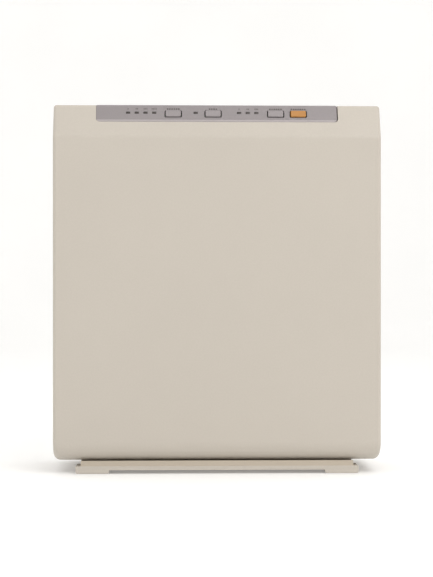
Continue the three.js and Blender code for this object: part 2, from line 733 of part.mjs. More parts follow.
function fanScroll() {
  const path = scrollPath();
  const mouth = block([-147.9, FAN_X + 171.9], SCROLL_Y, [DUCT_TOP - 5, DUCT_TOP + 5]);
  const cut = prism(path, 'y', SCROLL_Y[0] - 1, SCROLL_Y[1] - SCROLL_WALL);
  const above = block([-HALF_WIDTH, HALF_WIDTH], [0, 60], [DUCT_TOP, BODY_TOP]);
  return prism(insetCorners(path, -SCROLL_WALL), 'y', ...SCROLL_Y)
    .subtract(cut)
    .subtract(mouth.intersect(slab(0, SCROLL_Y[1] - SCROLL_WALL)))
    .subtract(above)
    .subtract(rod(MOTOR_RADIUS + 3, 'y', [FAN_X, 0, FAN_Z], 0, 60, 24));
}

function ioniserCase() {
  return block([60, 96], [40, 49.6], [376, 396], 2).subtract(block([64, 92], [39, 46], [380, 397]));
}

function ioniserNeedles() {
  const bar = block([66, 90], [42, 44], [382, 384]);
  const needles = [72, 84].map((x) => turned([[0, 383], [0.9, 383], [0.9, 390], [0, 395]], 'z', [x, 43, 0], 10));
  return union(bar, ...needles);
}

// ---------------------------------------------------------------- power supply

function powerBoard() {
  return block([-183, -131], [30, 31.6], [38, 90]);
}

function transformer() {
  const core = block([-180, -152], [11, 29.6], [42, 66], 1);
  const winding = block([-177, -155], [8, 31], [45, 63], 3).intersect(slab(8, 29.6));
  return core.add(winding);
}

function smoothingCapacitor() {
  return rod(6.5, 'y', [-143, 0, 50], 8, 29.6, 20);
}

function powerInlet() {
  const { x, z, width, height, depth } = INLET_SOCKET;
  const outline = centredRectangle(x, z, [width - 2 * GAP, height - 2 * GAP], 3.6);
  const flange = centredRectangle(x, z, [width + 6, height + 4], 3);
  const body = prism(outline, 'y', BACK - depth, BACK + 0).add(prism(flange, 'y', BACK - 6, BACK - WALL - GAP));
  const hollow = prism(centredRectangle(x, z, [width - 5, height - 5], 3), 'y', BACK - depth + 3, BACK + 1);
  const pinHoles = bothPins((pinX) => rod(1.5, 'y', [pinX, 0, z], BACK - depth - 1, BACK, 12));
  return body.subtract(hollow).subtract(pinHoles);
}

function bothPins(make) {
  return union(make(INLET_SOCKET.x - 4.3), make(INLET_SOCKET.x + 4.3));
}

function inletPin(side) {
  const profile = [[0, 57], [1.2, 57], [1.2, 71], [0.6, 72], [0, 72]];
  return turned(profile, 'y', [INLET_SOCKET.x + side * 4.3, 0, INLET_SOCKET.z], 12);
}

// ---------------------------------------------------------------- panel interlock

function interlockSwitch() {
  const box = block([146, 158], [-43.6, -30], [394.5, 404.5]);
  return box.subtract(rod(1.9, 'y', [152, 0, 399.5], -50, -36, 12));
}

function interlockPlunger() {
  return rod(1.5, 'y', [152, 0, 399.5], -48.2, -38.4, 12);
}

// ---------------------------------------------------------------- stand

function standBase() {
  const foot = BAR_HALF_LENGTH - FOOT_LENGTH;
  const barOutline = [
    [-BAR_HALF_LENGTH, FOOT_BOTTOM, 1.5], [-foot, FOOT_BOTTOM, 1.5], [-foot, BAR_BOTTOM], [foot, BAR_BOTTOM],
    [foot, FOOT_BOTTOM, 1.5], [BAR_HALF_LENGTH, FOOT_BOTTOM, 1.5], [BAR_HALF_LENGTH, BAR_TOP, 1],
    [-BAR_HALF_LENGTH, BAR_TOP, 1],
  ];
  const bars = [-BAR_CENTRE_Y, BAR_CENTRE_Y].map((y) => (
    prism(barOutline, 'y', y - BAR_DEPTH / 2, y + BAR_DEPTH / 2)
  ));
  const reach = BAR_CENTRE_Y + BAR_DEPTH / 2;
  const neckSection = [
    [-reach, BAR_BOTTOM], [reach, BAR_BOTTOM], [reach, BAR_TOP], [NECK_TOP_BACK, NECK_TOP, 2],
    [NECK_TOP_FRONT, NECK_TOP], [NECK_TOP_FRONT - 3, TROUGH_TOP], [RIDGE_Y + 4.4, TROUGH_TOP],
    [RIDGE_Y, RIDGE_TOP, 0.6], [-reach, BAR_TOP],
  ];
  const neck = prism(neckSection, 'x', -NECK_HALF_WIDTH, NECK_HALF_WIDTH);
  const padRecesses = footPadCentres().map(([x, y]) => (
    prism(centredRectangle(x, y, [32.8, 18.8], 3.4), 'z', 0, 2.6)
  ));
  const screwWells = bothSides((side) => turned(
    [[0, 4], [4.4, 4], [4.4, 8.2], [2.2, 8.2], [2.2, 17], [0, 17]], 'z', [side * 90, 20, 0], 20,
  ));
  return union(neck, ...bars).subtract(union(...padRecesses)).subtract(screwWells);
}

function footPadCentres() {
  const x = BAR_HALF_LENGTH - FOOT_LENGTH / 2;
  return [[-x, -BAR_CENTRE_Y], [x, -BAR_CENTRE_Y], [-x, BAR_CENTRE_Y], [x, BAR_CENTRE_Y]];
}

function footPad([x, y]) {
  return prism(centredRectangle(x, y, [32, 18], 3), 'z', 0, 2.2);
}

function standScrew(x) {
  const profile = [[0, 5], [2.6, 5.1], [3.8, 6], [3.8, 7.8], [1.6, 7.8], [1.6, 26], [0, 27]];
  const slot = block([x - 2.2, x + 2.2], [19.5, 20.5], [4, 6.2]);
  return turned(profile, 'z', [x, 20, 0], 16).subtract(slot);
}

// ---------------------------------------------------------------- assembly

const purifier = new THREE.Group();

function place(name, solid, material) {
  const mesh = new THREE.Mesh(geometryOf(solid), material);
  mesh.name = name;
  purifier.add(mesh);
}

const { creamPlastic, grillePlastic, blackPlastic, steel } = MATERIALS;

place('front_panel', frontPanel(), creamPlastic);
place('intake_grille_left', intakeGrille(-1), grillePlastic);
place('intake_grille_right', intakeGrille(1), grillePlastic);
place('main_chassis', mainChassis(), creamPlastic);
place('rear_cover', rearCover(), creamPlastic);
place('outlet_grille', outletGrille(), grillePlastic);

place('control_fascia', controlFascia(), MATERIALS.silverPlastic);
place('control_tray', controlTray(), blackPlastic);
place('control_board', controlBoard(), MATERIALS.circuitBoard);
for (const [name, x] of Object.entries(BUTTON_X)) {
  place(`button_${name}`, buttonCap(x), name === 'power' ? MATERIALS.orangePlastic : MATERIALS.buttonPlastic);
  place(`switch_${name}`, tactSwitch(x), blackPlastic);
}
for (const [name, windows] of Object.entries(WINDOW_X)) {
  place(`lens_${name}`, lensBar(windows), MATERIALS.darkLens);
  windows.forEach((x, index) => place(`led_${name}_${index + 1}`, lamp(x), MATERIALS.lampPlastic));
}

place('pre_filter', preFilter(), grillePlastic);
place('hepa_frame', hepaFrame(), MATERIALS.whitePlastic);
place('hepa_media', hepaMedia(), MATERIALS.filterPaper);
place('deodorising_filter', deodorisingFilter(), MATERIALS.carbon);
place('inlet_guard', inletGuard(), blackPlastic);

place('fan_wheel', fanWheel(), MATERIALS.whitePlastic);
place('motor_shaft', motorShaft(), steel);
place('fan_nut', fanNut(), steel);
place('motor_body', motorBody(), steel);
place('motor_mount', motorMount(), blackPlastic);
place('fan_scroll', fanScroll(), MATERIALS.whitePlastic);
place('ioniser_case', ioniserCase(), blackPlastic);
place('ioniser_needles', ioniserNeedles(), steel);

place('power_board', powerBoard(), MATERIALS.circuitBoard);
place('transformer', transformer(), blackPlastic);
place('smoothing_capacitor', smoothingCapacitor(), blackPlastic);
place('power_inlet', powerInlet(), blackPlastic);
place('inlet_pin_left', inletPin(-1), steel);
place('inlet_pin_right', inletPin(1), steel);
place('interlock_switch', interlockSwitch(), blackPlastic);
place('interlock_plunger', interlockPlunger(), MATERIALS.whitePlastic);

place('stand_base', standBase(), creamPlastic);
const padNames = ['front_left', 'front_right', 'rear_left', 'rear_right'];
footPadCentres().forEach((centre, index) => place(`foot_pad_${padNames[index]}`, footPad(centre), MATERIALS.rubber));
for (const [side, x] of [['left', -SCREW_X], ['right', SCREW_X]]) {
  for (const [height, z] of [['lower', SCREW_Z[0]], ['upper', SCREW_Z[1]]]) {
    place(`cover_screw_${height}_${side}`, coverScrew(x, z), steel);
  }
}
place('stand_screw_left', standScrew(-90), steel);
place('stand_screw_right', standScrew(90), steel);

export default purifier;
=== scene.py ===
"""Looks of the air purifier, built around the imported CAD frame. Units are metres.

Outer pieces that need fine curves are made here; the rest are the frame's own nodes with
softened edges. Every surface gets a procedural material.
"""

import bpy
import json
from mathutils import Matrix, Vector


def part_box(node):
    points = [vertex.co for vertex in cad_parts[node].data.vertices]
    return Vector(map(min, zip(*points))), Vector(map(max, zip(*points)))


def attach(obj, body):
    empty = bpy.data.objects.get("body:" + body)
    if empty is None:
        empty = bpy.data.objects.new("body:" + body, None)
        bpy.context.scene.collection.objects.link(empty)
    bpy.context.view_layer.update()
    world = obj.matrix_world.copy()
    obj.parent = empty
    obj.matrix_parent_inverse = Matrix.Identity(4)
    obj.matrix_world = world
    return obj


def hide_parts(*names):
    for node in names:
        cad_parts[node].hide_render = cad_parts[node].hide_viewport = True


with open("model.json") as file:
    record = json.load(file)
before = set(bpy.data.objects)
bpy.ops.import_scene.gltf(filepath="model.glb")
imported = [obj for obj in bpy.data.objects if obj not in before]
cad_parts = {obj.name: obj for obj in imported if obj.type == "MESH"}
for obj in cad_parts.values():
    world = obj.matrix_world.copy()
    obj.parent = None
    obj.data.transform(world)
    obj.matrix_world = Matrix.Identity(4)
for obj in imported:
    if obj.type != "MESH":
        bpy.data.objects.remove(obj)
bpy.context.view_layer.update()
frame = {"nodes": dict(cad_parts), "record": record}

import json
import math

import bmesh
import bpy
from mathutils import Matrix, Vector

MM = 0.001
NODES = frame["nodes"]

# ------------------------------------------------------------------ sizes from the frame

panel_low, panel_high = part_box("front_panel")
stand_low, stand_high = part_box("stand_base")
HALF_WIDTH = panel_high.x
FRONT = panel_low.y
BOTTOM = panel_low.z
TOP = panel_high.z
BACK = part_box("rear_cover")[1].y

WALL = 2.5 * MM
GAP = 0.4 * MM
PANEL_BACK = -47.6 * MM
CREASE_Z = TOP - 38.5 * MM
SLANT_SETBACK = 16 * MM
SIDE_CORNERS = [
    (FRONT, BOTTOM, 23 * MM),
    (BACK, BOTTOM, 12 * MM),
    (BACK, TOP, 10 * MM),
    (FRONT + SLANT_SETBACK, TOP, 4 * MM),
    (FRONT, CREASE_Z, 14 * MM),
]

SLANT_ANGLE = math.atan2(SLANT_SETBACK, TOP - CREASE_Z)
SLANT_LENGTH = math.hypot(SLANT_SETBACK, TOP - CREASE_Z)
STRIP_BOTTOM = SLANT_LENGTH - 21.6 * MM
STRIP_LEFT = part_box("control_fascia")[0].x
STRIP_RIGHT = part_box("control_fascia")[1].x
STRIP_PROUD = 0.3 * MM
STRIP_CORNER = 4 * MM
WINDOW_V = STRIP_BOTTOM + 11.4 * MM
WINDOW_SIZE = (5.0 * MM, 3.0 * MM)
BUTTON_V = STRIP_BOTTOM + 10 * MM
BUTTON_SIZE = (18.2 * MM, 7.8 * MM)
BUTTON_HOLE = (20.1 * MM, 9.5 * MM)
BUTTON_CORNER = 1.4 * MM
HOLE_CORNER = 1.8 * MM

HINGE_X = 110 * MM
HINGE_Y = -52 * MM
HINGE_Z = 19.9 * MM
RIB_SPACING = 7.1 * MM
TAB_X = 170 * MM
INTAKE_WINDOW = (-67 * MM, 46 * MM, -53 * MM, 384 * MM)

NECK_HALF_WIDTH = 158 * MM
NECK_TOP_FRONT = -46 * MM
NECK_TOP_BACK = 62 * MM
RIDGE_Y = -67 * MM
TROUGH_TOP = 13.4 * MM
BAR_TOP = 9 * MM
BAR_BOTTOM = 4.4 * MM
BAR_DEPTH = 26 * MM
FOOT_LENGTH = 38.8 * MM
PAD_Y = 57 * MM
PAD_RECESS = (32.8 * MM, 18.8 * MM)
STAND_SCREW = (90 * MM, 20 * MM)

BUTTONS = ("timer", "ion", "speed", "power")
WINDOW_COUNTS = {"timer": 4, "ion": 1, "speed": 3}


def middle_x(node):
    low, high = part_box(node)
    return (low.x + high.x) / 2


# ------------------------------------------------------------------ outlines and solids

def rounded(corners, step=5.0):
    """Points of an anticlockwise outline whose corners (x, y, radius) are rounded by arcs."""
    points = []
    for index, corner in enumerate(corners):
        here = Vector(corner[:2])
        radius = corner[2] if len(corner) > 2 else 0
        if radius == 0:
            points.append(here)
            continue
        to_last = (Vector(corners[index - 1][:2]) - here).normalized()
        to_next = (Vector(corners[(index + 1) % len(corners)][:2]) - here).normalized()
        half_angle = math.acos(max(-1.0, min(1.0, to_last.dot(to_next)))) / 2
        centre = here + (to_last + to_next).normalized() * radius / math.sin(half_angle)
        tangent = radius / math.tan(half_angle)
        start = here + to_last * tangent - centre
        end = here + to_next * tangent - centre
        first = math.atan2(start.y, start.x)
        sweep = (math.atan2(end.y, end.x) - first + math.pi) % (2 * math.pi) - math.pi
        count = max(3, math.ceil(abs(math.degrees(sweep)) / step - 0.01))
        for i in range(count + 1):
            angle = first + sweep * i / count
            points.append(centre + radius * Vector((math.cos(angle), math.sin(angle))))
    return points


def inset(corners, distance):
    """The same corners with every side moved inwards; a negative distance moves them out."""
    sides = []
    for index, corner in enumerate(corners):
        here = Vector(corner[:2])
        along = (Vector(corners[(index + 1) % len(corners)][:2]) - here).normalized()
        sides.append((here + Vector((-along.y, along.x)) * distance, along))
    moved = []
    for index, corner in enumerate(corners):
        start, along = sides[index - 1]
        next_start, next_along = sides[index]
        between = next_start - start
        t = between.cross(next_along) / along.cross(next_along)
        point = start + along * t
        radius = corner[2] if len(corner) > 2 else 0
        moved.append((point.x, point.y, max(radius - distance, 0.3 * MM) if radius else 0))
    return moved


def rectangle(x0, y0, x1, y1, radius=0.0):
    return [(x0, y0, radius), (x1, y0, radius), (x1, y1, radius), (x0, y1, radius)]


def centred(x, y, size, radius=0.0):
    width, height = size
    return rectangle(x - width / 2, y - height / 2, x + width / 2, y + height / 2, radius)


def mesh_object(name, vertices, faces, smooth=True):
    mesh = bpy.data.meshes.new(name)
    mesh.from_pydata([tuple(v) for v in vertices], [], faces)
    shape = bmesh.new()
    shape.from_mesh(mesh)
    bmesh.ops.remove_doubles(shape, verts=shape.verts, dist=1e-7)
    bmesh.ops.recalc_face_normals(shape, faces=shape.faces)
    shape.to_mesh(mesh)
    shape.free()
    mesh.polygons.foreach_set("use_smooth", [smooth] * len(mesh.polygons))
    obj = bpy.data.objects.new(name, mesh)
    bpy.context.scene.collection.objects.link(obj)
    return obj


def lofted(name, rings, place=None):
    """Joins rings of equal length by quads and closes both ends."""
    count = len(rings[0])
    vertices = [point for ring in rings for point in ring]
    if place is not None:
        vertices = [place @ Vector(v) for v in vertices]
    faces = [list(range(count))[::-1]]
    for r in range(len(rings) - 1):
        for i in range(count):
            j = (i + 1) % count
            faces.append([r * count + i, r * count + j, (r + 1) * count + j, (r + 1) * count + i])
    faces.append([(len(rings) - 1) * count + i for i in range(count)])
    return mesh_object(name, vertices, faces)


def prism(name, corners, axis, start, end, step=6.0, place=None):
    """An outline pushed along an axis; outlines lie in (y, z), (x, z) or (x, y)."""
    order = {"x": lambda u, v, w: (w, u, v), "y": lambda u, v, w: (u, w, v), "z": lambda u, v, w: (u, v, w)}
    points = rounded(corners, step)
    rings = [[order[axis](p.x, p.y, along) for p in points] for along in (start, end)]
    return lofted(name, rings, place)


def box_solid(name, xs, ys, zs, place=None):
    return prism(name, rectangle(xs[0], ys[0], xs[1], ys[1]), "z", zs[0], zs[1], place=place)


def rod(name, radius, axis, centre, start, end, count=32, place=None):
    u, v = centre
    corners = []
    for i in range(count):
        angle = 2 * math.pi * i / count
        corners.append((u + radius * math.cos(angle), v + radius * math.sin(angle)))
    return prism(name, corners, axis, start, end, place=place)


def combine(target, tools, operation):
    """Joins tools to, or cuts them from, a solid, and removes them."""
    for tool in tools:
        step = target.modifiers.new("combine", "BOOLEAN")
        step.operation = operation
        step.solver = "EXACT"
        step.object = tool
        apply_modifiers(target)
        bpy.data.objects.remove(tool)
    return target


def apply_modifiers(obj):
    bpy.context.view_layer.update()
    evaluated = obj.evaluated_get(bpy.context.evaluated_depsgraph_get())
    mesh = bpy.data.meshes.new_from_object(evaluated)
    obj.modifiers.clear()
    obj.data = mesh


def merged(target, others):
    """Puts other objects' faces into the target's mesh without cutting."""
    shape = bmesh.new()
    for source in [target, *others]:
        shape.from_mesh(source.data)
    shape.to_mesh(target.data)
    shape.free()
    for other in others:
        bpy.data.objects.remove(other)
    return target


def soften(obj, width, segments=3, angle=35.0):
    """Rounds sharp edges a little and evens out the shading of flat faces."""
    for polygon in obj.data.polygons:
        polygon.use_smooth = True
    edge = obj.modifiers.new("edge", "BEVEL")
    edge.width = width
    edge.segments = segments
    edge.limit_method = "ANGLE"
    edge.angle_limit = math.radians(angle)
    edge.use_clamp_overlap = True
    edge.miter_outer = "MITER_ARC"
    normals = obj.modifiers.new("normals", "WEIGHTED_NORMAL")
    normals.keep_sharp = True
    normals.weight = 100
    return obj


SLANT = Matrix((
    (1, 0, 0, 0),
    (0, math.sin(SLANT_ANGLE), -math.cos(SLANT_ANGLE), FRONT),
    (0, math.cos(SLANT_ANGLE), math.sin(SLANT_ANGLE), CREASE_Z),
    (0, 0, 0, 1),
))

# ------------------------------------------------------------------ material toolkit


class Nodes:
    """A material's node tree, with short calls for the nodes that these materials use."""

    def __init__(self, name):
        self.material = bpy.data.materials.new(name)
        self.material.use_nodes = True
        self.tree = self.material.node_tree
        self.shader = self.tree.nodes["Principled BSDF"]
        self.place = self.add("ShaderNodeTexCoord").outputs["Object"]

    def add(self, kind, **settings):
        node = self.tree.nodes.new(kind)
        for key, value in settings.items():
            setattr(node, key, value)
        return node

    def link(self, output, socket):
        self.tree.links.new(output, socket)

    def stretched(self, scale):
        mapping = self.add("ShaderNodeMapping")
        mapping.inputs["Scale"].default_value = scale
        self.link(self.place, mapping.inputs["Vector"])
        return mapping.outputs["Vector"]

    def noise(self, scale, detail=3.0, roughness=0.5, vector=None):
        node = self.add("ShaderNodeTexNoise")
        node.inputs["Scale"].default_value = scale
        node.inputs["Detail"].default_value = detail
        node.inputs["Roughness"].default_value = roughness
        self.link(vector or self.place, node.inputs["Vector"])
        return node.outputs["Fac"]

    def cells(self, scale, feature="F1", output="Distance", vector=None):
        node = self.add("ShaderNodeTexVoronoi", feature=feature)
        node.inputs["Scale"].default_value = scale
        self.link(vector or self.place, node.inputs["Vector"])
        return node.outputs[output]

    def ramp(self, factor, stops):
        node = self.add("ShaderNodeValToRGB")
        while len(node.color_ramp.elements) < len(stops):
            node.color_ramp.elements.new(0.5)
        for element, (position, colour) in zip(node.color_ramp.elements, stops):
            element.position = position
            element.color = (*colour, 1)
        self.link(factor, node.inputs["Fac"])
        return node.outputs["Color"]

    def spread(self, factor, low, high, source=(0.3, 0.7)):
        node = self.add("ShaderNodeMapRange")
        node.inputs["From Min"].default_value = source[0]
        node.inputs["From Max"].default_value = source[1]
        node.inputs["To Min"].default_value = low
        node.inputs["To Max"].default_value = high
        self.link(factor, node.inputs["Value"])
        return node.outputs["Result"]

    def mix(self, factor, first, second, kind="MIX"):
        node = self.add("ShaderNodeMix", data_type="RGBA", blend_type=kind)
        for socket, value in ((node.inputs[0], factor), (node.inputs[6], first), (node.inputs[7], second)):
            if isinstance(value, bpy.types.NodeSocket):
                self.link(value, socket)
            elif isinstance(value, (int, float)):
                socket.default_value = value
            else:
                socket.default_value = (*value, 1)
        return node.outputs[2]

    def maths(self, operation, first, second=0.5):
        node = self.add("ShaderNodeMath", operation=operation)
        for socket, value in zip(node.inputs, (first, second)):
            if isinstance(value, bpy.types.NodeSocket):
                self.link(value, socket)
            else:
                socket.default_value = value
        return node.outputs["Value"]

    def bump(self, height, strength, distance, below=None):
        node = self.add("ShaderNodeBump")
        node.inputs["Strength"].default_value = strength
        node.inputs["Distance"].default_value = distance
        self.link(height, node.inputs["Height"])
        if below is not None:
            self.link(below, node.inputs["Normal"])
        return node.outputs["Normal"]

    def edges(self, low=0.52, high=0.62):
        """1 on worn convex edges, 0 elsewhere."""
        return self.spread(self.add("ShaderNodeNewGeometry").outputs["Pointiness"], 0, 1, (low, high))

    def set(self, **values):
        for key, value in values.items():
            socket = self.shader.inputs[key.replace("_", " ")]
            if isinstance(value, bpy.types.NodeSocket):
                self.link(value, socket)
            elif isinstance(value, tuple):
                socket.default_value = (*value, 1)
            else:
                socket.default_value = value
        return self.material


def tint(colour, factor):
    return tuple(min(1.0, channel * factor) for channel in colour)


def moulded_plastic(name, colour, roughness, grain=0.10, dust=0.05, pore_scale=1400):
    """Moulded plastic: spark-eroded grain, faint flow clouds, handling marks and paler edges."""
    nodes = Nodes(name)
    clouds = nodes.ramp(nodes.noise(7, 4), [(0.3, tint(colour, 0.975)), (0.7, tint(colour, 1.02))])
    specks = nodes.ramp(nodes.noise(520, 2), [(0.35, tint(colour, 0.965)), (0.65, tint(colour, 1.02))])
    body = nodes.mix(0.5, clouds, specks)
    dusty = nodes.mix(nodes.spread(nodes.noise(24, 6, 0.65), 0, dust, (0.5, 0.75)), body, (0.55, 0.5, 0.43))
    worn = nodes.mix(nodes.maths("MULTIPLY", nodes.edges(), 0.25), dusty, tint(colour, 1.12))
    pores = nodes.bump(nodes.cells(pore_scale), grain, 0.08 * MM)
    ripple = nodes.bump(nodes.noise(30, 2), 0.05, 0.5 * MM, pores)
    smears = nodes.spread(nodes.noise(16, 5, 0.6), roughness - 0.05, roughness + 0.07)
    return nodes.set(Base_Color=worn, Roughness=smears, Normal=ripple)


def silver_paint(name, colour, roughness, metallic):
    """Satin metallic paint: fine flakes, soft clouds and a few rubbed spots."""
    nodes = Nodes(name)
    sparkle = nodes.cells(2600, output="Color")
    flakes = nodes.ramp(sparkle, [(0.0, tint(colour, 0.86)), (1.0, tint(colour, 1.12))])
    clouds = nodes.ramp(nodes.noise(9, 3), [(0.3, tint(colour, 0.97)), (0.7, tint(colour, 1.03))])
    paint = nodes.mix(0.45, clouds, flakes)
    rubbed = nodes.mix(nodes.maths("MULTIPLY", nodes.edges(), 0.3), paint, tint(colour, 1.25))
    grain = nodes.bump(nodes.noise(2200, 2), 0.12, 0.03 * MM)
    touch = nodes.spread(nodes.noise(22, 5, 0.6), roughness - 0.06, roughness + 0.08)
    return nodes.set(Base_Color=rubbed, Roughness=touch, Metallic=metallic, Normal=grain)


def smoked_lens(name):
    nodes = Nodes(name)
    shade = nodes.ramp(nodes.noise(300, 2), [(0.3, (0.032, 0.025, 0.023)), (0.7, (0.055, 0.044, 0.04))])
    dust = nodes.mix(nodes.spread(nodes.noise(900, 3), 0, 0.12, (0.55, 0.8)), shade, (0.3, 0.28, 0.26))
    ripple = nodes.bump(nodes.noise(400, 2), 0.06, 0.05 * MM)
    gloss = nodes.spread(nodes.noise(120, 3), 0.16, 0.3)
    return nodes.set(Base_Color=dust, Roughness=gloss, Coat_Weight=0.5, Coat_Roughness=0.08, Normal=ripple)


def printed_ink(name):
    nodes = Nodes(name)
    ink = nodes.ramp(nodes.noise(1500, 2), [(0.3, (0.055, 0.048, 0.045)), (0.75, (0.11, 0.1, 0.095))])
    return nodes.set(Base_Color=ink, Roughness=nodes.spread(nodes.noise(700), 0.5, 0.7))


def steel(name):
    nodes = Nodes(name)
    brush = nodes.noise(60, 4, 0.6, nodes.stretched((1, 1, 30)))
    colour = nodes.ramp(brush, [(0.3, (0.42, 0.42, 0.43)), (0.7, (0.66, 0.66, 0.67))])
    grooves = nodes.bump(brush, 0.15, 0.05 * MM)
    gloss = nodes.spread(brush, 0.24, 0.42)
    return nodes.set(Base_Color=colour, Metallic=1.0, Roughness=gloss, Normal=grooves)


def soft_rubber(name):
    nodes = Nodes(name)
    shade = nodes.ramp(nodes.noise(60, 5), [(0.3, (0.022, 0.021, 0.02)), (0.7, (0.06, 0.057, 0.054))])
    pores = nodes.bump(nodes.cells(900), 0.35, 0.15 * MM)
    return nodes.set(Base_Color=shade, Roughness=nodes.spread(nodes.noise(90), 0.75, 0.95), Normal=pores)


def lacquered_board(name):
    """A circuit board: tracks and pads under green lacquer."""
    nodes = Nodes(name)
    tracks = nodes.cells(170, feature="DISTANCE_TO_EDGE", vector=nodes.stretched((0.35, 1, 1)))
    lines = nodes.ramp(tracks, [(0.08, (0.07, 0.25, 0.08)), (0.14, (0.02, 0.11, 0.035))])
    pads = nodes.ramp(nodes.cells(240), [(0.08, (0.55, 0.5, 0.4)), (0.13, (0.0, 0.0, 0.0))])
    board = nodes.mix(0.6, lines, pads, "ADD")
    relief = nodes.bump(tracks, 0.2, 0.1 * MM)
    return nodes.set(Base_Color=board, Roughness=nodes.spread(nodes.noise(80), 0.2, 0.4), Normal=relief)


def pleated_paper(name):
    nodes = Nodes(name)
    fibres = nodes.noise(260, 8, 0.7, nodes.stretched((1, 1, 0.25)))
    paper = nodes.ramp(fibres, [(0.3, (0.74, 0.73, 0.68)), (0.7, (0.89, 0.885, 0.85))])
    folds = nodes.spread(nodes.noise(14, 4), 0, 0.18, (0.5, 0.8))
    greyed = nodes.mix(folds, paper, (0.5, 0.49, 0.46))
    return nodes.set(Base_Color=greyed, Roughness=nodes.spread(fibres, 0.85, 0.98),
                     Normal=nodes.bump(fibres, 0.35, 0.2 * MM))


def carbon_honeycomb(name):
    nodes = Nodes(name)
    cells = nodes.cells(210, feature="DISTANCE_TO_EDGE")
    walls = nodes.ramp(cells, [(0.06, (0.12, 0.12, 0.115)), (0.16, (0.008, 0.008, 0.008))])
    grains = nodes.ramp(nodes.noise(900, 2), [(0.4, (0.0, 0.0, 0.0)), (0.7, (0.05, 0.05, 0.05))])
    charcoal = nodes.mix(1.0, walls, grains, "ADD")
    return nodes.set(Base_Color=charcoal, Roughness=nodes.spread(cells, 0.95, 0.7),
                     Normal=nodes.bump(cells, 0.9, MM))


def woven_net(name, colour):
    """Fine woven mesh in a moulded frame, for the pre-filter."""
    nodes = Nodes(name)
    threads = []
    for axis in ("X", "Z"):
        wave = nodes.add("ShaderNodeTexWave", wave_type="BANDS", bands_direction=axis)
        wave.inputs["Scale"].default_value = 200
        wave.inputs["Distortion"].default_value = 0.4
        nodes.link(nodes.place, wave.inputs["Vector"])
        threads.append(wave.outputs["Fac"])
    weave = nodes.maths("MAXIMUM", threads[0], threads[1])
    net = nodes.ramp(weave, [(0.55, tint(colour, 0.35)), (0.85, colour)])
    lint = nodes.mix(nodes.spread(nodes.noise(35, 6, 0.7), 0, 0.3, (0.5, 0.75)), net, (0.42, 0.4, 0.36))
    return nodes.set(Base_Color=lint, Roughness=nodes.spread(weave, 0.9, 0.6),
                     Normal=nodes.bump(weave, 0.6, 0.4 * MM))


def lamp_plastic(name):
    nodes = Nodes(name)
    milk = nodes.ramp(nodes.noise(500, 3), [(0.3, (0.62, 0.72, 0.56)), (0.7, (0.8, 0.86, 0.74))])
    return nodes.set(Base_Color=milk, Roughness=nodes.spread(nodes.noise(200), 0.12, 0.3),
                     Normal=nodes.bump(nodes.noise(300), 0.1, 0.05 * MM))


CREAM = (0.522, 0.478, 0.420)
# painted shade: a darker, warmer copy of the cream for the neck faces in the shade under the body
NECK_PAINTED_SHADE_CREAM = (0.468, 0.405, 0.325)
GRILLE_CREAM = (0.50, 0.445, 0.375)
SILVER = (0.265, 0.240, 0.244)
ORANGE = (0.445, 0.2, 0.045)
BLACK = (0.022, 0.022, 0.025)
WHITE = (0.76, 0.75, 0.71)
NET = (0.5, 0.47, 0.41)

MATERIALS = {
    "cream_plastic": moulded_plastic("cream_plastic", CREAM, 0.48),
    "neck_painted_shade": moulded_plastic("neck_painted_shade", NECK_PAINTED_SHADE_CREAM, 0.5),
    "grille_plastic": moulded_plastic("grille_plastic", GRILLE_CREAM, 0.52),
    "silver_plastic": silver_paint("silver_plastic", SILVER, 0.48, 0.05),
    # painted highlight: a paler copy of the strip's silver paint for its lower bevel
    "strip_bevel_painted_highlight": silver_paint("strip_bevel_painted_highlight", tint(SILVER, 1.55), 0.42, 0.05),
    "button_plastic": silver_paint("button_plastic", tint(SILVER, 1.09), 0.44, 0.05),
    "orange_plastic": moulded_plastic("orange_plastic", ORANGE, 0.4, grain=0.08, dust=0.03),
    "dark_lens": smoked_lens("dark_lens"),
    "printed_ink": printed_ink("printed_ink"),
    "black_plastic": moulded_plastic("black_plastic", BLACK, 0.5, grain=0.2, dust=0.04),
    "white_plastic": moulded_plastic("white_plastic", WHITE, 0.45),
    "lamp_plastic": lamp_plastic("lamp_plastic"),
    "circuit_board": lacquered_board("circuit_board"),
    "filter_paper": pleated_paper("filter_paper"),
    "carbon_filter": carbon_honeycomb("carbon_filter"),
    "plain_steel": steel("plain_steel"),
    "pad_rubber": soft_rubber("pad_rubber"),
    "woven_net": woven_net("woven_net", NET),
}


def dress(obj, material):
    obj.data.materials.clear()
    obj.data.materials.append(MATERIALS[material])
    return obj


def enter(obj, body, slot, material=None, replaces=()):
    """Finishes a piece: its material (the slot's own, unless another is given), the body it rides on and the
    nodes it stands for.
    """
    dress(obj, material or slot)
    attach(obj, body)
    if replaces:
        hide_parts(*replaces)
    return obj


# ------------------------------------------------------------------ front panel

def edge_radius(z):
    """The panel's side edges are roundest at the bottom and tightest at the top."""
    low = max(0.0, 1 - (z - BOTTOM) / (40 * MM))
    high = max(0.0, 1 - (TOP - z) / (20 * MM))
    return (4.5 + 3.5 * low * low - 1.0 * high) * MM


